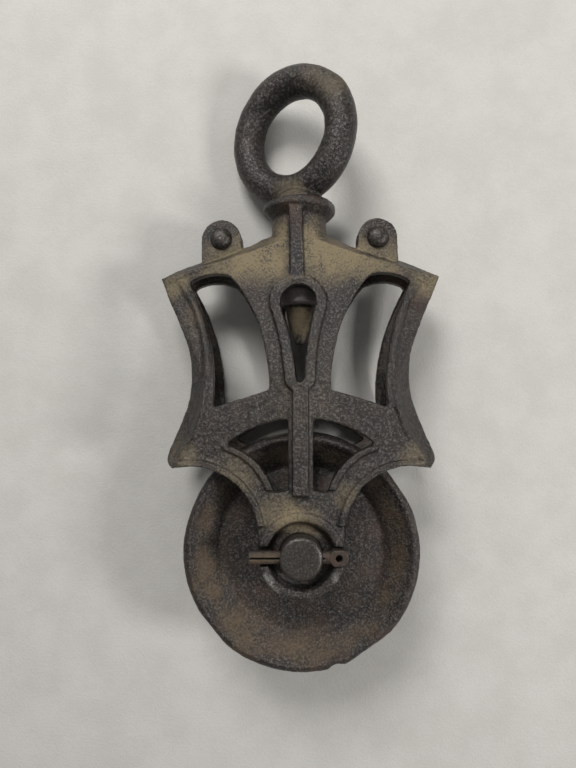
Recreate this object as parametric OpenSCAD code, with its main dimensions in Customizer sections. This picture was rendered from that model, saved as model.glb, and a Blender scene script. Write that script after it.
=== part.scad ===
// A cast-iron barn pulley: two alike cheek castings riveted at the shoulders,
// a grooved sheave on a cross-pinned axle, and a swivel eye held by a washer.
// The pulley lies on its back. +Y runs from the axle to the eye, +Z is up,
// and the origin is the centre of the axle's lower end face.

/* [Sheave] */
// Diameter over the lips of the sheave
sheave_d = 114.3; // [110:0.1:116]
// Width over the lips of the sheave
sheave_w = 32; // [30:0.5:33]
// Diameter at the bottom of the rope groove
groove_d = 90.4; // [86:0.2:94]
// Radius of the rope groove's round bottom
groove_r = 11.5; // [10:0.5:12]
// Diameter of the flat web inside the dished rim
web_d = 81; // [76:1:84]
// Thickness of the web
web_t = 12; // [9:1:14]
// Diameter of the hub
hub_d = 33; // [30:1:36]
// Length of the hub
hub_l = 35; // [34:0.5:35.5]

/* [Axle and cotters] */
// Diameter of the axle
axle_d = 20; // [18:0.5:21]
// Length of the axle over its rounded ends
axle_l = 61; // [58:0.5:64]
// Radius of the rounded axle ends
axle_round = 2; // [1:0.5:3]
// Diameter of the split cotter
cotter_d = 6; // [5:0.25:6.5]
// Length of the cotter's legs beyond its eye
cotter_leg = 38; // [34:1:40]
// Length of the cotter's eye
cotter_eye_l = 8.6; // [8:0.2:10]
// Width of the cotter's eye
cotter_eye_w = 7.4; // [7:0.2:8]
// Height of the cotter's centre line above the sheave's middle
cotter_z = 25.8; // [25:0.1:26.5]
// Radial play between the sheave and the axle
axle_play = 0.08; // [0.02:0.01:0.1]

/* [Cheek outline] */
// Half width at the top corners
corner_x = 70.8; // [68:0.2:73]
// Height of the top corners above the axle
corner_y = 135.3; // [132:0.1:138]
// Half width at the waist
waist_x = 53.2; // [51:0.1:55]
// Height of the waist above the axle
waist_y = 82; // [78:1:86]
// Half width at the feet
foot_x = 64.5; // [62:0.5:66]
// Height of the feet above the axle
foot_y = 47.5; // [46:0.5:49]
// Height of the shoulders beside the neck
shoulder_y = 151.6; // [149:0.1:153]
// Half width of the neck under the collar
neck_r = 14; // [13:0.5:15]
// Radius of the concave edge under each strut
strut_r = 31.7; // [30:0.1:33]
// Radius of the boss round the axle
boss_r = 20.1; // [19:0.1:21]

/* [Cheek depth] */
// Height of the front face above the sheave's middle
face_z = 24; // [23:0.5:25]
// Wall thickness of the casting
wall = 5.2; // [4.5:0.1:5.5]
// Height of the raised beads and ridges
bead_h = 2.2; // [1.5:0.1:2.6]
// Height on the cheek at which the hood starts to lean back
hood_y = 85; // [80:1:90]
// Fall of the hood for each millimetre towards the eye
hood_fall = 0.17; // [0.15:0.01:0.19]
// Fall of the hood for each millimetre towards a top corner
corner_fall = 0.25; // [0.2:0.01:0.27]
// Height of the outer edge of a stile above the sheave's middle
stile_edge_z = 14; // [12:0.5:15]
// Width of the sloping outer face of a stile
stile_slope_w = 8.5; // [7.5:0.5:9.5]
// Height of the boss face above the sheave's middle
boss_z = 25.4; // [25:0.1:26]
// Radius of the dished recess in the boss
recess_r = 16.4; // [15:0.1:17]
// Depth of the dished recess
recess_depth = 4.6; // [3:0.1:5]
// Width of the slot that holds the cotter
slot_w = 8.6; // [8:0.1:9]

/* [Openings] */
// Height of the underside of the arched bar above the axle
bar_low_y = 64; // [62:0.5:65]
// Height of the top of the arched bar above the axle
bar_top_y = 78.8; // [77:0.1:80]
// Width of the stem between the two lower windows
stem_w = 11.6; // [10:0.1:13]
// Width of the raised rib on the stem
stem_rib_w = 7.2; // [6:0.1:8]
// Radius of the teardrop's round head
tear_r = 8.7; // [8:0.1:9.5]
// Height of the centre of the teardrop's head
tear_y = 120.5; // [119:0.5:122]
// Radius of the teardrop's narrow foot
tear_foot_r = 2.1; // [1.5:0.1:3]
// Height of the centre of the teardrop's foot
tear_foot_y = 83; // [82:0.5:86]
// Width of the bead round the teardrop
tear_bead_w = 5.1; // [4:0.1:5.5]
// Lean of the teardrop and the rib above it, in degrees
tear_lean = 1.2; // [0:0.1:2]
// Width of the rib above the teardrop
crown_rib_w = 6.4; // [5:0.1:7]

/* [Collar and lugs] */
// Height of the collar's top face above the axle
collar_y = 174; // [172:0.5:176]
// Radius of the collar
collar_r = 18.8; // [17:0.1:20]
// Thickness of the collar's rim
collar_t = 4.6; // [4:0.1:6]
// Distance of each lug from the centre line
lug_x = 39.8; // [38:0.1:41]
// Height of the lug centres above the axle
lug_y = 155.3; // [154:0.1:157]
// Radius of the lugs
lug_r = 10.1; // [9:0.1:11]
// Thickness of each lug
lug_t = 6.5; // [5:0.5:8]
// Diameter of the rivet shank
rivet_d = 8; // [6:0.5:9]
// Diameter of the rivet heads
rivet_head_d = 11.4; // [10.5:0.1:13]
// Height of the rivet heads
rivet_head_h = 3.6; // [2.5:0.1:4.5]

/* [Swivel eye] */
// Mean radius of the eye's ring
eye_r = 28.2; // [26:0.1:28.3]
// Radius of the eye's bar
eye_bar_r = 8.4; // [8:0.1:8.5]
// Height of the ring's centre above the axle
eye_y = 211.2; // [211.1:0.1:214]
// Turn of the eye about its shank, in degrees
eye_turn = 31; // [0:1:90]
// Sideways lean of the ring on its shank, in degrees
eye_lean = 4.5; // [0:0.5:5]
// Diameter of the shank
shank_d = 12.7; // [11:0.1:13]
// Radial play between the shank and the collar
shank_play = 0.08; // [0.02:0.01:0.1]
// Radius of the shoulder that rests on the collar
shoulder_r = 13; // [12:0.1:14]
// Gap between the shoulder and the collar
shoulder_gap = 0.4; // [0.3:0.1:0.8]
// Diameter of the swivel washer
washer_d = 21.4; // [18:0.2:21.6]
// Thickness of the swivel washer
washer_t = 9.4; // [6:0.1:10]
// Height of the inner end of the neck above the axle
neck_inner_y = 131; // [130.5:0.5:132]
// Length of the shank's tapered tail below the washer
tail_l = 19.6; // [12:0.1:21]

/* [Hidden] */
$fn = 96;

iron = "#3a3531";
worn_iron = "#55504a";
dusty_iron = "#6b5d45";

rest_z = axle_l / 2;
span = 400;
reach = 100;
cone_h = 60;
fit_gap = 0.05;
hub_gap = 0.3;
slot_gap = 0.3;
edge_round = 1.3;
inner_z = face_z - wall;
axle_r = axle_d / 2;
shank_r = shank_d / 2;
lip_r = sheave_d / 2;
lip_z = sheave_w / 2;
slope_run = stile_slope_w / (face_z - stile_edge_z);
side_r = 61;
side_centre = [waist_x + side_r, waist_y];
strut_centre = [boss_r + strut_r, 10];
bar_low_r = 56.9;
shoulder_line = [30, 143, 16];
shoulder_fall = [-0.56, -1.6];
ridge_w = 3;
ridge_h = 1.5;
ridge_start_y = 14;
ridge_top_y = 51;
ridge_foot_y = 30.6;
stem_foot_y = 27.6;
neck_foot_y = 148;
lug_root = 14;
cotter_reach = 14;
cotter_split = 0.7;
cotter_hole_r = 1.6;
lean_y = 172;
tail_tip_r = 2.2;
washer_top_y = neck_inner_y - 0.5;

// Centre of the circle through three points
function centre_of(a, b, c) =
    let (d = 2 * (a.x * (b.y - c.y) + b.x * (c.y - a.y) + c.x * (a.y - b.y)))
    [((a * a) * (b.y - c.y) + (b * b) * (c.y - a.y) + (c * c) * (a.y - b.y)) / d,
     ((a * a) * (c.x - b.x) + (b * b) * (a.x - c.x) + (c * c) * (b.x - a.x)) / d];

// Angle of a point seen from a centre
function bearing(centre, p) = atan2(p.y - centre.y, p.x - centre.x);

// Angle brought into 0 to 360
function wrap(angle) = angle - 360 * floor(angle / 360);

// Points along the arc that starts at a, passes b and ends at c
function arc_through(a, b, c, steps = 10) =
    let (
        o = centre_of(a, b, c),
        start = bearing(o, a),
        left = (b.x - a.x) * (c.y - b.y) - (b.y - a.y) * (c.x - b.x) > 0,
        sweep = left ? wrap(bearing(o, c) - start) : -wrap(start - bearing(o, c))
    )
    [for (i = [0:steps]) o + norm(a - o) * [cos(start + sweep * i / steps), sin(start + sweep * i / steps)]];

// The same points on the other side of the centre line, in reverse order
function across(points) = [for (i = [len(points) - 1:-1:0]) [-points[i].x, points[i].y]];

// Point on a circle about the centre line, at a distance x from it
function on_circle(centre_y, r, x) = [x, centre_y + sqrt(r * r - x * x)];

// Right-hand edge of the cheek from the boss up to the neck
cheek_side = concat(
    [[boss_r, 0]],
    arc_through([boss_r + 0.1, 8], strut_centre + strut_r * [-cos(45), sin(45)],
        strut_centre + [0, strut_r]),
    arc_through([foot_x - 3, foot_y - 7], [foot_x - 0.2, foot_y - 4.5], [foot_x, foot_y], 4),
    arc_through([waist_x + 2.6, waist_y - 13], [waist_x, waist_y], [waist_x + 6, waist_y + 28]),
    arc_through([corner_x, corner_y], [49.4, 144.8], [26, shoulder_y]),
    arc_through([24.6, 152.4], [18.6, 158], [neck_r + 0.6, 167], 6)
);

// Right-hand upper window
upper_window = concat(
    arc_through([41.3, bar_top_y - 9.6], [44, 102.5], [corner_x - 15.8, corner_y - 3.8]),
    arc_through([53.4, 133.1], [43, 135.7], [34.2, 134], 6),
    arc_through([30.6, 130], [19.7, 108.5], [14.6, bar_top_y - 1.2])
);

// Right-hand lower window, between the arched bar, the strut, the boss and the stem
lower_window = concat(
    arc_through(on_circle(bar_low_y - bar_low_r, bar_low_r, stem_w / 2),
        on_circle(bar_low_y - bar_low_r, bar_low_r, 20), on_circle(bar_low_y - bar_low_r, bar_low_r, 34.3)),
    arc_through([33.6, 51.4], [19.8, 42.4], [12.6, 29]),
    [[stem_w / 2, 30.3]]
);

// Half of the teardrop, widened all round by grow
function tear_side(grow) = concat(
    arc_through([0, tear_foot_y - tear_foot_r - grow],
        [0, tear_foot_y] + (tear_foot_r + grow) * [cos(-45), sin(-45)], [tear_foot_r + grow, tear_foot_y], 6),
    arc_through([tear_foot_r + grow + 0.1, tear_foot_y + 1], [4.5 + grow, 102.5],
        [tear_r + grow - 0.2, tear_y - 2.5]),
    arc_through([tear_r + grow, tear_y], [0, tear_y] + (tear_r + grow) * [cos(45), sin(45)],
        [0, tear_y + tear_r + grow], 8)
);

// Everything below is drawn about the middle of the sheave and lifted to rest on the axle's end
module lifted() {
    translate([0, 0, rest_z]) children();
}

module both_sides() {
    children();
    mirror([1, 0, 0]) children();
}

module teardrop(grow) {
    side = tear_side(grow);
    translate([0, tear_foot_y]) rotate(tear_lean) translate([0, -tear_foot_y])
        polygon(concat(side, across(side)));
}

// The half space above a plane through a point, raised by lift along its own normal
module space_above(point, fall, lift) {
    translate(point) rotate(a = atan(norm(fall)), v = [fall.y, -fall.x, 0])
        translate([-span / 2, -span / 2, lift]) cube([span, span, span]);
}

// What the sloping faces of a cheek leave outside it, each face raised by lift
module outside_faces(lift) {
    space_above([0, hood_y, face_z], [0, -hood_fall], lift);
    both_sides() {
        space_above([34, hood_y, face_z], [-corner_fall, -hood_fall], lift);
        space_above(shoulder_line, shoulder_fall, lift);
        translate([side_centre.x, side_centre.y, lift * norm([1, 1 / slope_run])])
            cylinder(h = cone_h, r1 = side_r - stile_edge_z * slope_run,
                r2 = side_r + (cone_h - stile_edge_z) * slope_run, $fn = 180);
    }
}

// Half of a body of revolution about the Y axis, on the upper side
module half_turned() {
    rotate([-90, 0, 0]) rotate([0, 0, 180]) rotate_extrude(angle = 180) children();
}

module outline() {
    polygon(concat(cheek_side, across(cheek_side)));
}

module plate() {
    difference() {
        linear_extrude(face_z) outline();
        outside_faces(0);
    }
}

module strut_ridges() {
    intersection() {
        outline();
        translate(strut_centre) circle(r = strut_r + ridge_w);
        translate([boss_r - ridge_w, ridge_start_y]) square([foot_x - boss_r - 4, strut_r]);
    }
    difference() {
        offset(delta = ridge_w) polygon(lower_window);
        polygon(lower_window);
        translate([-reach, ridge_top_y]) square(2 * reach);
        translate([-reach, ridge_foot_y - 2 * reach]) square(2 * reach);
        translate([-reach, 0]) square([reach + stem_w / 2, reach]);
    }
}

module ridges() {
    difference() {
        linear_extrude(face_z + bead_h) {
            difference() {
                teardrop(tear_bead_w);
                teardrop(0);
            }
            translate([-stem_rib_w / 2, stem_foot_y])
                square([stem_rib_w, tear_foot_y - tear_bead_w - stem_foot_y]);
        }
        outside_faces(bead_h);
    }
    linear_extrude(face_z + ridge_h) both_sides() strut_ridges();
}

// The rib that runs from the teardrop up to the collar
module crown_rib() {
    top = collar_y - collar_t - 1;
    translate([0, tear_foot_y, 0]) rotate([0, 0, tear_lean]) translate([-crown_rib_w / 2, -tear_foot_y, 0])
        rotate([90, 0, 90]) linear_extrude(crown_rib_w)
            polygon([[neck_inner_y, 0], [neck_inner_y, 19], [shoulder_y, 16.6], [top, 17.6], [top, 0]]);
}

module neck_and_collar() {
    under = collar_y - collar_t;
    half_turned() polygon([[0, neck_foot_y], [neck_r + 0.5, neck_foot_y], [neck_r, under - 4],
        [collar_r - edge_round, under - 0.6], [collar_r, under + 0.6],
        [collar_r, collar_y - edge_round], [collar_r - edge_round, collar_y], [0, collar_y]]);
}

module lug() {
    linear_extrude(lug_t) {
        translate([lug_x, lug_y]) circle(r = lug_r);
        translate([lug_x - lug_r, lug_y - lug_root]) square([2 * lug_r, lug_root]);
    }
}

// The hollow between the front wall and the parting plane
module hollow() {
    difference() {
        translate([-reach, -reach, -1]) cube([2 * reach, reach + lug_y, inner_z + 1]);
        outside_faces(-wall);
        translate([0, neck_inner_y, 0]) rotate([-90, 0, 0]) cylinder(h = reach, r = neck_r - 1);
    }
}

// The boss stands inwards to the hub as well as outwards
module boss() {
    inner_face = hub_l / 2 + hub_gap;
    translate([0, 0, inner_face]) cylinder(h = boss_z - inner_face, r = boss_r);
}

module boss_cuts() {
    dish_r = recess_r - 2.5;
    translate([0, 0, boss_z - recess_depth]) {
        cylinder(h = recess_depth, r1 = dish_r, r2 = recess_r);
        translate([0, 0, recess_depth]) cylinder(h = reach, r = recess_r);
    }
    translate([-reach, -slot_w / 2, cotter_z - cotter_d / 2 - slot_gap]) cube([2 * reach, slot_w, reach]);
    translate([0, 0, -1]) cylinder(h = reach, r = axle_r + fit_gap);
}

module windows() {
    translate([0, 0, -1]) linear_extrude(reach) {
        both_sides() {
            polygon(upper_window);
            polygon(lower_window);
        }
        teardrop(0);
    }
}

module cheek() {
    difference() {
        union() {
            difference() {
                union() {
                    plate();
                    ridges();
                }
                hollow();
            }
            crown_rib();
            neck_and_collar();
            both_sides() lug();
            boss();
        }
        windows();
        boss_cuts();
        translate([0, neck_inner_y - reach / 2, 0]) rotate([-90, 0, 0])
            cylinder(h = reach, r = shank_r + shank_play);
        both_sides() translate([lug_x, lug_y, -1]) cylinder(h = reach, r = rivet_d / 2 + fit_gap);
    }
}

module front_cheek() {
    color(iron) lifted() cheek();
}

module rear_cheek() {
    color(iron) lifted() rotate([0, 180, 0]) cheek();
}

module rivet_half() {
    head = arc_through([rivet_head_d / 2, lug_t], [rivet_head_d / 2 - 1.3, lug_t + rivet_head_h - 1.2],
        [0, lug_t + rivet_head_h], 8);
    rotate_extrude() polygon(concat([[0, 0], [rivet_d / 2, 0], [rivet_d / 2, lug_t]], head));
}

module rivet(side) {
    color(worn_iron) lifted() translate([side * lug_x, lug_y, 0]) {
        rivet_half();
        rotate([180, 0, 0]) rivet_half();
    }
}

module left_rivet() {
    rivet(-1);
}

module right_rivet() {
    rivet(1);
}

// One quarter of the sheave's section, from the hub out to the lip and back to the groove
module sheave_section() {
    bore_r = axle_r + axle_play;
    upper = concat(
        [[bore_r, hub_l / 2], [hub_d / 2 - 1, hub_l / 2], [hub_d / 2, hub_l / 2 - 1],
         [hub_d / 2 + 2.5, web_t / 2], [web_d / 2, web_t / 2]],
        arc_through([lip_r - 4.6, lip_z - 0.8], [lip_r - 3.4, lip_z], [lip_r - 2, lip_z - 0.2], 4),
        arc_through([lip_r - 1.4, lip_z - 0.6], [lip_r, lip_z - 2.4], [lip_r - 0.6, groove_r], 5)
    );
    groove = arc_through([groove_d / 2 + groove_r, groove_r], [groove_d / 2, 0],
        [groove_d / 2 + groove_r, -groove_r], 24);
    lower = [for (i = [len(upper) - 1:-1:0]) [upper[i].x, -upper[i].y]];
    polygon(concat(upper, groove, lower));
}

module sheave() {
    color(dusty_iron) lifted() rotate_extrude($fn = 180) sheave_section();
}

module axle() {
    end = arc_through([axle_r, axle_l / 2 - axle_round], [axle_r - axle_round * (1 - cos(45)),
        axle_l / 2 - axle_round * (1 - sin(45))], [axle_r - axle_round, axle_l / 2], 6);
    upper = concat(end, [[0, axle_l / 2]]);
    lower = [for (i = [len(upper) - 1:-1:0]) [upper[i].x, -upper[i].y]];
    color(worn_iron) lifted() difference() {
        rotate_extrude() polygon(concat(upper, lower));
        for (side = [-1, 1]) translate([-reach, 0, side * cotter_z]) rotate([0, 90, 0])
            cylinder(h = 2 * reach, r = cotter_d / 2 + fit_gap);
    }
}

// A split cotter along X, with its eye on the right
module cotter() {
    eye_mid = cotter_reach + cotter_eye_l / 2 - 1;
    difference() {
        union() {
            translate([cotter_reach - cotter_leg, 0, 0]) rotate([0, 90, 0])
                cylinder(h = cotter_leg, r = cotter_d / 2);
            intersection() {
                translate([eye_mid, 0, -cotter_d / 2]) cylinder(h = cotter_d, r = cotter_eye_l / 2);
                translate([eye_mid, 0, 0]) cube([cotter_eye_l, cotter_eye_w, cotter_d], center = true);
            }
        }
        translate([cotter_reach - cotter_leg - 3, -cotter_split / 2, -cotter_d])
            cube([cotter_leg, cotter_split, 2 * cotter_d]);
        translate([eye_mid, 0, -cotter_d]) cylinder(h = 2 * cotter_d, r = cotter_hole_r);
    }
}

module front_cotter() {
    color(worn_iron) lifted() translate([0, 0, cotter_z]) cotter();
}

module rear_cotter() {
    color(worn_iron) lifted() rotate([0, 180, 0]) translate([0, 0, cotter_z]) cotter();
}

// The ring, its shoulder and the shank down to the tapered tail
module swivel_eye() {
    seat_y = collar_y + shoulder_gap;
    tail_y = washer_top_y - washer_t;
    tip_y = tail_y - tail_l;
    burr_r = shank_r + 0.9;
    color(iron) lifted() {
        translate([0, lean_y, 0]) rotate([0, -eye_turn, eye_lean]) translate([0, eye_y - lean_y, 0])
            rotate_extrude($fn = 120) translate([eye_r, 0]) circle(r = eye_bar_r, $fn = 48);
        rotate([-90, 0, 0]) rotate_extrude() polygon(concat(
            [[0, tip_y], [tail_tip_r, tip_y]],
            arc_through([tail_tip_r + 1, tip_y + 1.2], [burr_r - 1.6, tip_y + tail_l / 2],
                [burr_r, tail_y - 1.5], 5),
            [[burr_r, tail_y], [shank_r, tail_y], [shank_r, seat_y], [shoulder_r, seat_y],
             [shoulder_r, seat_y + 1.5]],
            arc_through([shoulder_r - 0.6, seat_y + 2.6], [9, seat_y + 6.2], [0, seat_y + 8], 6)
        ));
    }
}

module swivel_washer() {
    outer_r = washer_d / 2;
    color(worn_iron) lifted() translate([0, washer_top_y - washer_t, 0]) rotate([-90, 0, 0])
        rotate_extrude() polygon([[shank_r + fit_gap, 0], [outer_r - edge_round, 0],
            [outer_r, edge_round], [outer_r, washer_t - edge_round],
            [outer_r - edge_round, washer_t], [shank_r + fit_gap, washer_t]]);
}

front_cheek();
rear_cheek();
left_rivet();
right_rivet();
sheave();
axle();
front_cotter();
rear_cotter();
swivel_eye();
swivel_washer();
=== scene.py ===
# %% [markdown]
# An old barn pulley of cast iron. The two cheeks are sand castings, riveted at
# the shoulders. The grooved sheave turns on an axle that two split cotters
# hold, and the eye at the top swivels on its shank.
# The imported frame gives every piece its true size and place. This script adds
# what the solids leave out: the softened, lumpy skin of a casting, its low
# ridges, worn lips, rust and dust, and then a camera, a floor and lamps.

# %% Frame
import math

import bmesh
import bpy
from mathutils import Matrix, Vector, noise


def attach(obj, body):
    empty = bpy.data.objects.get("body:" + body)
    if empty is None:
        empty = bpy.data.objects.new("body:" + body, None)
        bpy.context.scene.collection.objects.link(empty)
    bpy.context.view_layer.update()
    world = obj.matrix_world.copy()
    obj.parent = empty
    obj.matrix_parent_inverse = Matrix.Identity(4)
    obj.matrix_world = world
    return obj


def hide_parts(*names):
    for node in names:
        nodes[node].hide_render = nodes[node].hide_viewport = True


MM = 0.001
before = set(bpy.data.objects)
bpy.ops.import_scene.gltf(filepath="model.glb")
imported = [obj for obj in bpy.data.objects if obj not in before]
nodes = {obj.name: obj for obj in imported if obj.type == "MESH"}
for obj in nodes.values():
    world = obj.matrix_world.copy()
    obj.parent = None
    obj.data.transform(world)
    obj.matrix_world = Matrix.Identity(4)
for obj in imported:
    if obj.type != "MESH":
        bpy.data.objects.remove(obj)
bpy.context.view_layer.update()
print("frame holds", len(nodes), "nodes")

# %% [markdown]
# The camera looks straight down on the pulley from close by, so near parts
# look larger than far ones. A photo taken at arm's length does that, and the
# wide lens here keeps the same perspective.

# %% Camera
CAMERA_PLACE = Vector((0.0001, 0.0660, 0.3262))
CAMERA_BACK = Vector((0.0214, -0.0520, 0.9984))
CAMERA_UP = Vector((0.0058, 0.9986, 0.0519))
LENS_MM = 27.05


def place_camera():
    back = CAMERA_BACK.normalized()
    right = CAMERA_UP.cross(back).normalized()
    turn = Matrix((right, back.cross(right), back)).transposed()
    data = bpy.data.cameras.new("camera")
    data.lens = LENS_MM
    data.clip_start = 0.01
    camera = bpy.data.objects.new("camera", data)
    camera.matrix_world = Matrix.Translation(CAMERA_PLACE) @ turn.to_4x4()
    bpy.context.scene.collection.objects.link(camera)
    bpy.context.scene.camera = camera


place_camera()
bpy.context.scene.view_settings.view_transform = "Standard"
print("camera stands", round(CAMERA_PLACE.z, 3), "m above the axle's lower end")

# %% [markdown]
# Shader sums are easier to read as sums. This small class wraps a socket, so
# that `1 - mask` or `rust * 0.5` adds the Math nodes by itself. A second class
# holds one material and has a single method that makes any other node.

# %% Shader helpers
# The share of a spot's or a band's reach that has its full strength
SPOT_FULL_SHARE = 0.25
BAND_FULL_SHARE = 0.3


class Value:
    def __init__(self, paint, socket):
        self.paint = paint
        self.socket = socket

    def math(self, operation, other, flipped=False):
        pair = (other, self) if flipped else (self, other)
        return self.paint.node("ShaderNodeMath", {"operation": operation}, {0: pair[0], 1: pair[1]})

    def __add__(self, other):
        return self.math("ADD", other)

    def __sub__(self, other):
        return self.math("SUBTRACT", other)

    def __rsub__(self, other):
        return self.math("SUBTRACT", other, flipped=True)

    def __mul__(self, other):
        return self.math("MULTIPLY", other)

    __radd__ = __add__
    __rmul__ = __mul__

    def above(self, low, high):
        return self.paint.node("ShaderNodeMapRange", {"interpolation_type": "SMOOTHSTEP"},
                               {"Value": self, "From Min": low, "From Max": high})

    def clamped(self):
        return self.paint.node("ShaderNodeClamp", {}, {"Value": self})


class Paint:
    def __init__(self, name):
        self.material = bpy.data.materials.new(name)
        self.material.use_nodes = True
        self.tree = self.material.node_tree
        self.shader = self.tree.nodes["Principled BSDF"]
        self.place = self.node("ShaderNodeTexCoord", {}, {}, "Object")

    def node(self, kind, settings, sockets, output=0):
        made = self.tree.nodes.new(kind)
        for key, setting in settings.items():
            setattr(made, key, setting)
        for key, value in sockets.items():
            self.feed(made.inputs[key], value)
        return Value(self, made.outputs[output])

    def feed(self, socket, value):
        if isinstance(value, Value):
            self.tree.links.new(value.socket, socket)
        else:
            socket.default_value = value

    def grain(self, size_mm, detail=3.0, roughness=0.6):
        return self.node("ShaderNodeTexNoise", {}, {"Vector": self.place, "Scale": 1 / (size_mm * MM),
                                                    "Detail": detail, "Roughness": roughness})

    def mix(self, mask, under, over):
        return self.node("ShaderNodeMix", {"data_type": "RGBA"}, {0: mask, 6: under, 7: over}, 2)

    def flat_place(self):
        """The place as seen from above, with its height left out."""
        return self.node("ShaderNodeVectorMath", {"operation": "MULTIPLY"}, {0: self.place, 1: (1, 1, 0)})

    def near(self, x, y, reach, strength):
        """A soft round patch about an upright line through x, y, in millimetres."""
        far = self.node("ShaderNodeVectorMath", {"operation": "DISTANCE"},
                        {0: self.flat_place(), 1: (x * MM, y * MM, 0)}, "Value")
        return (1 - far.above(SPOT_FULL_SHARE * reach * MM, reach * MM)) * strength

    def patches(self, spots, base):
        """The base everywhere, a number or a Value, and each spot's own on top."""
        total = base
        for x, y, reach, strength in spots:
            total = self.near(x, y, reach, strength) + total
        return total

    def ring(self, radius, half, strength):
        """A soft band about the sheave's axis, in millimetres."""
        out = self.node("ShaderNodeVectorMath", {"operation": "LENGTH"}, {0: self.flat_place()}, "Value")
        inner = out.above((radius - half) * MM, (radius - BAND_FULL_SHARE * half) * MM)
        outer = out.above((radius + BAND_FULL_SHARE * half) * MM, (radius + half) * MM)
        return (inner - outer) * strength


# %% [markdown]
# Old cast iron is nearly black, with a sandy grain from the mould. Barn dust
# lies on what faces up, most of it in the hollows, and hands and rope rub the
# corners bare. So one recipe does every piece: iron with light grey specks,
# which are partly that grain and partly painted sparkle, and rust blotches,
# then dust by place and by facing, then worn edges found from the mesh's curvature.

# %% Cast iron
IRON = (0.016, 0.014, 0.0135, 1)
# The light grey of the specks is partly sandy grain and partly painted sparkle
IRON_GREY_AND_SPARKLE = (0.090, 0.081, 0.075, 1)
RUST = (0.062, 0.036, 0.024, 1)
DUST = (0.175, 0.138, 0.080, 1)
# Bare metal colour, also used for the painted glints on the boss lip
BARE_AND_GLINT = (0.210, 0.200, 0.185, 1)
BLOTCH_MM = 11
FINE_MM = 0.35
# Each pair is where a mask starts and where it is full
FACES_UP = (0.2, 0.95)
GREY_AND_SPARKLE_SPECKS = (0.47, 0.66)
RUST_BLOTCHES = (0.42, 0.66)
DUST_BLOTCHES = (0.30, 0.60)
DUST_SPECKS = (0.36, 0.60)
WEAR_AND_GLINT_SPECKS = (0.30, 0.58)
OPEN_FACES = (0.44, 0.50)
SHARP_EDGES = (0.52, 0.60)
# Shares of the dust on faces turned sideways, on open faces, and more in hollows
SIDE_DUST = 0.15
OPEN_DUST = 0.7
HOLLOW_DUST = 0.5
METALLIC = 0.6
BUMP_REACH = 1.5


def cast_iron(name, dust_spots=(), dust_rings=(), rust_spots=(), rubbed_and_glint_spots=(), dust_all=0.05,
              rust_all=0.15, bare_all=0.35, grain_mm=1.0, grain_depth=0.42, rough_all=0.22,
              iron=IRON, dust=DUST):
    """Spots hold x, y, reach and strength. Rings hold radius, half width and strength."""
    paint = Paint(name)
    blotch = paint.grain(BLOTCH_MM, 4)
    speck = paint.grain(grain_mm, 4, 0.7)
    fine = paint.grain(FINE_MM, 2)
    facing = paint.node("ShaderNodeTexCoord", {}, {}, "Normal")
    lifted = paint.node("ShaderNodeSeparateXYZ", {}, {"Vector": facing}, "Z").above(*FACES_UP)
    curve = paint.node("ShaderNodeNewGeometry", {}, {}, "Pointiness")

    rusty = paint.patches(rust_spots, rust_all) * blotch.above(*RUST_BLOTCHES)
    # Light grey specks: partly the casting's grain, partly painted sparkle
    colour = paint.mix(speck.above(*GREY_AND_SPARKLE_SPECKS), iron, IRON_GREY_AND_SPARKLE)
    colour = paint.mix(rusty.clamped(), colour, RUST)

    settled = paint.patches(dust_spots, dust_all)
    for radius, half, strength in dust_rings:
        settled = paint.ring(radius, half, strength) + settled
    broken = blotch.above(*DUST_BLOTCHES) * 0.45 + speck.above(*DUST_SPECKS) * 0.65
    hollow = (1 - curve.above(*OPEN_FACES)) * HOLLOW_DUST + OPEN_DUST
    dusty = (settled * broken * hollow * (lifted * (1 - SIDE_DUST) + SIDE_DUST)).clamped()
    colour = paint.mix(dusty, colour, dust)

    # Sharp edges and listed spots take bare metal colour; the boss lip spots are painted glints as well as
    # wear
    edges = curve.above(*SHARP_EDGES) * bare_all * (1 - dusty * 0.7)
    wear_and_glint = (paint.patches(rubbed_and_glint_spots, edges) * speck.above(*WEAR_AND_GLINT_SPECKS)).clamped()
    colour = paint.mix(wear_and_glint, colour, BARE_AND_GLINT)

    bump = paint.node("ShaderNodeBump", {}, {"Height": speck * 0.75 + fine * 0.25,
                                             "Distance": BUMP_REACH * grain_depth * MM,
                                             "Strength": 1.0}, "Normal")
    roughness = dusty * 0.6 + speck * 0.2 - wear_and_glint * 0.08 + rough_all
    paint.feed(paint.shader.inputs["Base Color"], colour)
    paint.feed(paint.shader.inputs["Roughness"], roughness.clamped())
    paint.feed(paint.shader.inputs["Metallic"], ((1 - dusty) * METALLIC).clamped())
    paint.feed(paint.shader.inputs["Normal"], bump)
    print(name, "has", len(paint.tree.nodes), "shader nodes")
    return paint.material


# %% [markdown]
# A sand casting has no sharp edges: the mould rounds them and its grains leave
# small lumps. Beveling each edge of such a branching shape breaks easily. A
# voxel remesh of the solid followed by smoothing rounds all edges at once, as
# the foundry does, and a little noise along the normals gives the lumps.

# %% Casting skin
# Points nearer than this are one point of a seam between loose triangles
SEAM_MM = 0.002


def bake_modifiers(piece):
    graph = bpy.context.evaluated_depsgraph_get()
    mesh = bpy.data.meshes.new_from_object(piece.evaluated_get(graph))
    piece.modifiers.clear()
    piece.data = mesh


def lump(mesh, layers, fade):
    """Moves each point along its normal by smooth noise, given as pairs of size and height in millimetres."""
    normals = [v.normal.copy() for v in mesh.vertices]
    for vertex, normal in zip(mesh.vertices, normals):
        rise = sum(height * noise.noise(vertex.co / (size * MM)) for size, height in layers)
        vertex.co += normal * (rise * fade(vertex.co) * MM)


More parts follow.
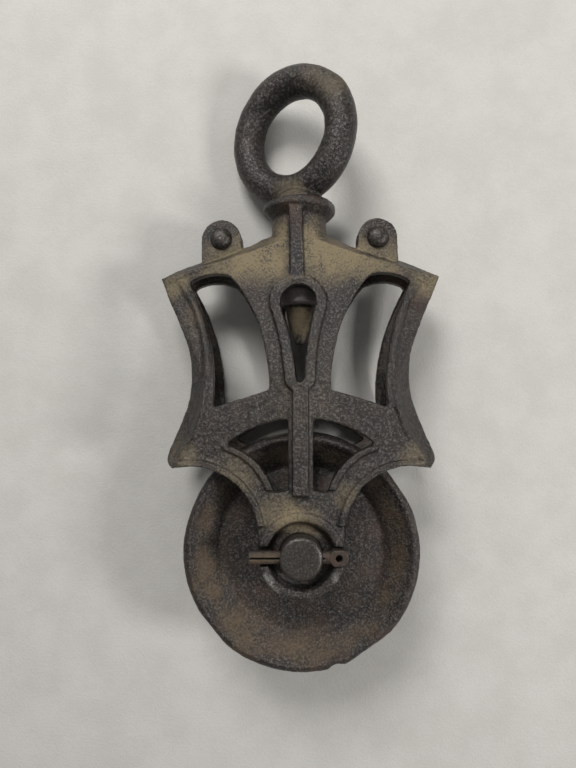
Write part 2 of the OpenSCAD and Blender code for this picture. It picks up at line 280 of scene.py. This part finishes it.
def skin(node, voxel_mm, smoothing, layers, shape=None, fade=lambda point: 1.0):
    """A softened copy of a CAD node, which takes the node's place."""
    mesh = nodes[node].data.copy()
    mesh.materials.clear()
    work = bmesh.new()
    work.from_mesh(mesh)
    bmesh.ops.remove_doubles(work, verts=work.verts, dist=SEAM_MM * MM)
    work.to_mesh(mesh)
    work.free()
    piece = bpy.data.objects.new(node + "_skin", mesh)
    bpy.context.scene.collection.objects.link(piece)
    remesh = piece.modifiers.new("remesh", "REMESH")
    remesh.mode = "VOXEL"
    remesh.voxel_size = voxel_mm * MM
    remesh.use_smooth_shade = True
    smooth = piece.modifiers.new("smooth", "SMOOTH")
    smooth.iterations = smoothing
    smooth.factor = 0.5
    bake_modifiers(piece)
    if shape:
        shape(piece.data)
    lump(piece.data, layers, fade)
    for polygon in piece.data.polygons:
        polygon.use_smooth = True
    print(piece.name, len(piece.data.vertices), "points")
    return piece


def finish_piece(piece, node, body, material):
    """Gives the piece its iron, and puts it in the node's place on the node's body."""
    piece.data.materials.clear()
    piece.data.materials.append(material)
    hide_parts(node)
    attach(piece, body)


# %% [markdown]
# A raised round ridge runs down each stile beside its window and out to the
# foot, and low rims follow the top edge and the foot. Separate strips would
# show a seam, so the ridges are sculpted: points that face outwards are lifted
# by a smooth profile, by how near they are to a line through a few places.
# Normals are read first, since Blender works all of them out anew after a move.

# %% Ridges
STILE_RIDGE = [(59, 131), (51.5, 119), (47, 106), (45, 93), (44.6, 81), (46.5, 68), (51.5, 56), (58, 47)]
TOP_RIM = [(68, 133), (56, 137), (44, 141.5), (32, 145)]
FOOT_RIM = [(59, 43.5), (50, 41.5), (40, 37.5), (31, 31), (25, 22)]
# Each ridge has its line, half width and height
RIDGES = [(STILE_RIDGE, 2.6, 1.5), (TOP_RIM, 2.2, 0.8), (FOOT_RIM, 1.8, 0.6)]
LEAST_OUTWARD = 0.25


def from_line(point, line):
    """Distance in millimetres from a point to a line through several places."""
    nearest = math.inf
    for start, end in zip(line, line[1:]):
        along = end - start
        share = max(0.0, min(1.0, (point - start).dot(along) / along.length_squared))
        nearest = min(nearest, (point - start - along * share).length)
    return nearest


def raise_ridges(mesh, front_side):
    """Lifts the ridges on the side that faces away from the other cheek."""
    facing = 1 if front_side else -1
    lines = [([Vector(p) for p in line], half, height) for line, half, height in RIDGES]
    outward = [v.normal.z * facing for v in mesh.vertices]
    for vertex, faces_out in zip(mesh.vertices, outward):
        if faces_out < LEAST_OUTWARD:
            continue
        flat = Vector((abs(vertex.co.x), vertex.co.y)) / MM
        rise = 0.0
        for line, half, height in lines:
            away = from_line(flat, line) / half
            if away < 1:
                rise = max(rise, height * (1 - away * away) ** 2)
        vertex.co.z += facing * rise * MM


# %% [markdown]
# The front cheek carries most of the dust: on the neck beside the rib, on the
# shoulders and top corners, on the feet, and on the struts above the boss. The
# rib up the neck stands clear of it, so its spots take dust away. A painted
# image would need unwrapping, so each place is a soft round spot in the shader.

# %% Cheeks
CHEEK_DUST = [(-15, 148, 24, 1.9), (15, 148, 24, 1.9), (-38, 141, 20, 1.1), (40, 141, 20, 1.1),
              (-64, 132, 13, 1.0), (65, 132, 13, 1.1), (-57, 45, 13, 0.7), (54, 45, 11, 0.6),
              (-32, 36, 17, 0.6), (22, 27, 10, 0.5), (-10, 20, 14, 0.8), (0, 15, 14, 0.8),
              (-48, 112, 14, 0.3), (0, 72, 26, 0.15)]
CLEAN_RIB = [(-2, y, 6, -2.2) for y in (138, 144, 150, 156, 162)]
CHEEK_RUST = [(0, 169, 20, 0.5), (-50, 128, 20, 0.4), (50, 128, 20, 0.4), (0, 5, 20, 0.3)]
# The three spots about the boss lip are partly rubbed metal and partly painted glints where the lip catches
# light
CHEEK_WEAR_AND_GLINTS = [(-17, -12, 5.5, 1.6), (-13, -16, 4, 0.9), (17, -10, 4, 0.7), (18, 172, 5, 0.5)]
front_iron = cast_iron("front cheek iron", CHEEK_DUST + CLEAN_RIB,
                       rust_spots=CHEEK_RUST, rubbed_and_glint_spots=CHEEK_WEAR_AND_GLINTS)
rear_iron = cast_iron("rear cheek iron", rust_spots=CHEEK_RUST, dust_all=0.10, rust_all=0.45)
CHEEK_VOXEL = 0.70
CHEEK_LUMPS = [(14, 0.35), (3.2, 0.18), (1.5, 0.12)]
front = skin("front_cheek", CHEEK_VOXEL, 1, CHEEK_LUMPS, shape=lambda mesh: raise_ridges(mesh, True))
finish_piece(front, "front_cheek", "frame", front_iron)
rear = skin("rear_cheek", CHEEK_VOXEL, 1, CHEEK_LUMPS, shape=lambda mesh: raise_ridges(mesh, False))
finish_piece(rear, "rear_cheek", "frame", rear_iron)

# %% [markdown]
# The sheave's lips have run against rope and cheek for years, so they are
# rounder than cast, with flats and a small chip. Points near the lip are
# pulled in over short stretches of its turn.

# %% Sheave
WORN_SPOTS = [(-55, 16, 1.5), (-73, 5, 1.7), (-140, 12, 0.8), (35, 14, 0.9), (160, 18, 0.6), (100, 10, 0.5)]
LIP_R = 57.15
LIP_DEPTH = 5.0


def wear_lips(mesh):
    """Each spot is a bearing and half width in degrees, and a depth in millimetres."""
    for vertex in mesh.vertices:
        radius = vertex.co.xy.length / MM
        if radius < LIP_R - LIP_DEPTH:
            continue
        turn = math.degrees(math.atan2(vertex.co.y, vertex.co.x))
        depth = 0.0
        for bearing, width, most in WORN_SPOTS:
            away = abs((turn - bearing + 180) % 360 - 180) / width
            if away < 1:
                depth += most * (1 - away * away) ** 2
        depth *= (radius - LIP_R + LIP_DEPTH) / LIP_DEPTH
        scale = (radius - depth) / radius
        vertex.co.x *= scale
        vertex.co.y *= scale


SHEAVE_DUST = [(-44, -14, 16, 0.35), (-28, -38, 16, 0.4), (2, -47, 16, 0.3)]
SHEAVE_RINGS = [(47.5, 5.5, 0.42)]
sheave_iron = cast_iron("sheave iron", SHEAVE_DUST, SHEAVE_RINGS, dust_all=0.06, rust_all=0.4, bare_all=0.5,
                        dust=(0.120, 0.082, 0.040, 1))
SHEAVE_VOXEL = 0.8
SHEAVE_LUMPS = [(16, 0.25), (3, 0.14), (1.6, 0.10)]
sheave = skin("sheave", SHEAVE_VOXEL, 2, SHEAVE_LUMPS, shape=wear_lips)
finish_piece(sheave, "sheave", "wheel", sheave_iron)

# %% [markdown]
# The eye is smoother than the cheeks, with long shallow dents, and has dust on
# the ring's upper right, on the shoulder and on the tail. It turns close above
# the collar, so its lumps fade out towards the ring's foot and it runs clear.
# The washer is small and nearly smooth, so it takes the same skin, but finer.

# %% Eye and washer
EYE_DUST = [(16, 234, 20, 0.8), (-6, 178, 12, 1.2), (0, 113, 13, 2.2)]
eye_iron = cast_iron("eye iron", EYE_DUST, dust_all=0.04, grain_mm=1.4, grain_depth=0.30,
                     dust=(0.110, 0.085, 0.048, 1))
SMOOTH_BELOW_Y = 180
LUMPY_FROM_Y = 200


def clear_of_collar(point):
    return max(0.0, min(1.0, (point.y / MM - SMOOTH_BELOW_Y) / (LUMPY_FROM_Y - SMOOTH_BELOW_Y)))


EYE_VOXEL = 0.6
EYE_LUMPS = [(18, 0.55), (7, 0.25), (2.4, 0.10)]
eye = skin("swivel_eye", EYE_VOXEL, 4, EYE_LUMPS, fade=clear_of_collar)
finish_piece(eye, "swivel_eye", "eye", eye_iron)
# The washer's iron is painted pale grey, painted light that makes it look lit down in the shaded cavity
washer_painted_lit_iron = cast_iron("washer iron painted lit", dust_all=0.10, grain_mm=0.8, grain_depth=0.08, rough_all=0.45,
                        iron=(0.170, 0.150, 0.145, 1))
WASHER_VOXEL = 0.4
WASHER_LUMPS = [(8, 0.10)]
washer = skin("swivel_washer", WASHER_VOXEL, 3, WASHER_LUMPS)
finish_piece(washer, "swivel_washer", "eye", washer_painted_lit_iron)

# %% [markdown]
# The rivets and the axle are rubbed, so they show more bare metal and a finer
# grain. The cotters are wire, brown with rust. All five are small, so they take
# the same recipe and skin as the castings, with finer voxels.

# %% Fasteners
rivet_iron = cast_iron("rivet iron", dust_all=0.12, bare_all=0.5, grain_mm=0.9, grain_depth=0.2)
axle_iron = cast_iron("axle iron", dust_all=0.08, bare_all=0.7, grain_mm=0.9, grain_depth=0.16,
                      iron=(0.035, 0.032, 0.030, 1))
cotter_iron = cast_iron("cotter iron", [(-18, 0, 14, 1.6)], dust_all=0.10, rust_all=0.8, bare_all=0.2,
                        grain_mm=0.7, grain_depth=0.16, rough_all=0.42, iron=(0.028, 0.022, 0.018, 1),
                        dust=(0.082, 0.058, 0.036, 1))
SMALL_LUMPS = [(5, 0.12), (1.6, 0.05)]
SMALL_VOXEL = 0.3
FASTENERS = [("left_rivet", "rivet_iron", rivet_iron), ("right_rivet", "rivet_iron", rivet_iron),
             ("axle", "axle_iron", axle_iron), ("front_cotter", "cotter_iron", cotter_iron),
             ("rear_cotter", "cotter_iron", cotter_iron)]
for node, slot, material in FASTENERS:
    finish_piece(skin(node, SMALL_VOXEL, 3, SMALL_LUMPS), node, "frame", material)

# %% [markdown]
# The pulley touches the floor at the rear end of its axle and at the lowest
# point of its eye. The floor runs through both, so it rises slightly towards
# the eye. It is plain and pale with a faint grain, and one square face is
# enough for it, because its only work is to catch the pulley's shadow.

# %% Floor
FLOOR_RISE = 0.0345
FLOOR_TOUCH_Y = 0.008
FLOOR_HALF = 2.0
FLOOR_DARK = (0.425, 0.41, 0.38, 1)
FLOOR_LIGHT = (0.465, 0.45, 0.42, 1)
FLOOR_TONES = (0.35, 0.65)


def make_floor():
    work = bmesh.new()
    bmesh.ops.create_grid(work, x_segments=1, y_segments=1, size=FLOOR_HALF)
    for vertex in work.verts:
        vertex.co.z = (vertex.co.y - FLOOR_TOUCH_Y) * FLOOR_RISE
    mesh = bpy.data.meshes.new("floor")
    work.to_mesh(mesh)
    work.free()
    floor = bpy.data.objects.new("floor", mesh)
    bpy.context.scene.collection.objects.link(floor)
    paint = Paint("pale floor")
    broad = paint.grain(24, 5)
    fine = paint.grain(1.2, 3)
    tone = (broad * 0.7 + fine * 0.3).above(*FLOOR_TONES)
    paint.feed(paint.shader.inputs["Base Color"], paint.mix(tone, FLOOR_DARK, FLOOR_LIGHT))
    paint.feed(paint.shader.inputs["Roughness"], 0.95)
    paint.feed(paint.shader.inputs["Normal"],
               paint.node("ShaderNodeBump", {}, {"Height": fine, "Distance": 0.25 * MM}, "Normal"))
    mesh.materials.append(paint.material)
    print("floor rises", FLOOR_RISE, "m in each metre")


make_floor()

# %% [markdown]
# Soft window light from above and a weaker lamp from the right leave gentle
# highlights on the rounded iron edges. Both are area lamps, because points of
# light would leave hard glints, and the world fills the shadows evenly.

# %% Lights
AIM = Vector((0, 0.1, 0.03))
# Each lamp has its name, place, width in metres and power in watts
LAMPS = [("window", (-0.25, 0.80, 0.85), 0.45, 11.5), ("right fill", (0.75, -0.10, 0.60), 0.2, 5.5)]
for name, place, size, power in LAMPS:
    data = bpy.data.lights.new(name, "AREA")
    data.size = size
    data.energy = power
    lamp = bpy.data.objects.new(name, data)
    lamp.location = place
    lamp.rotation_euler = (Vector(place) - AIM).to_track_quat("Z", "Y").to_euler()
    bpy.context.scene.collection.objects.link(lamp)
WORLD_STRENGTH = 0.34
world = bpy.data.worlds.new("soft room")
world.use_nodes = True
world.node_tree.nodes["Background"].inputs["Color"].default_value = (1, 1, 1, 1)
world.node_tree.nodes["Background"].inputs["Strength"].default_value = WORLD_STRENGTH
bpy.context.scene.world = world
print("lamps:", ", ".join(lamp[0] for lamp in LAMPS))
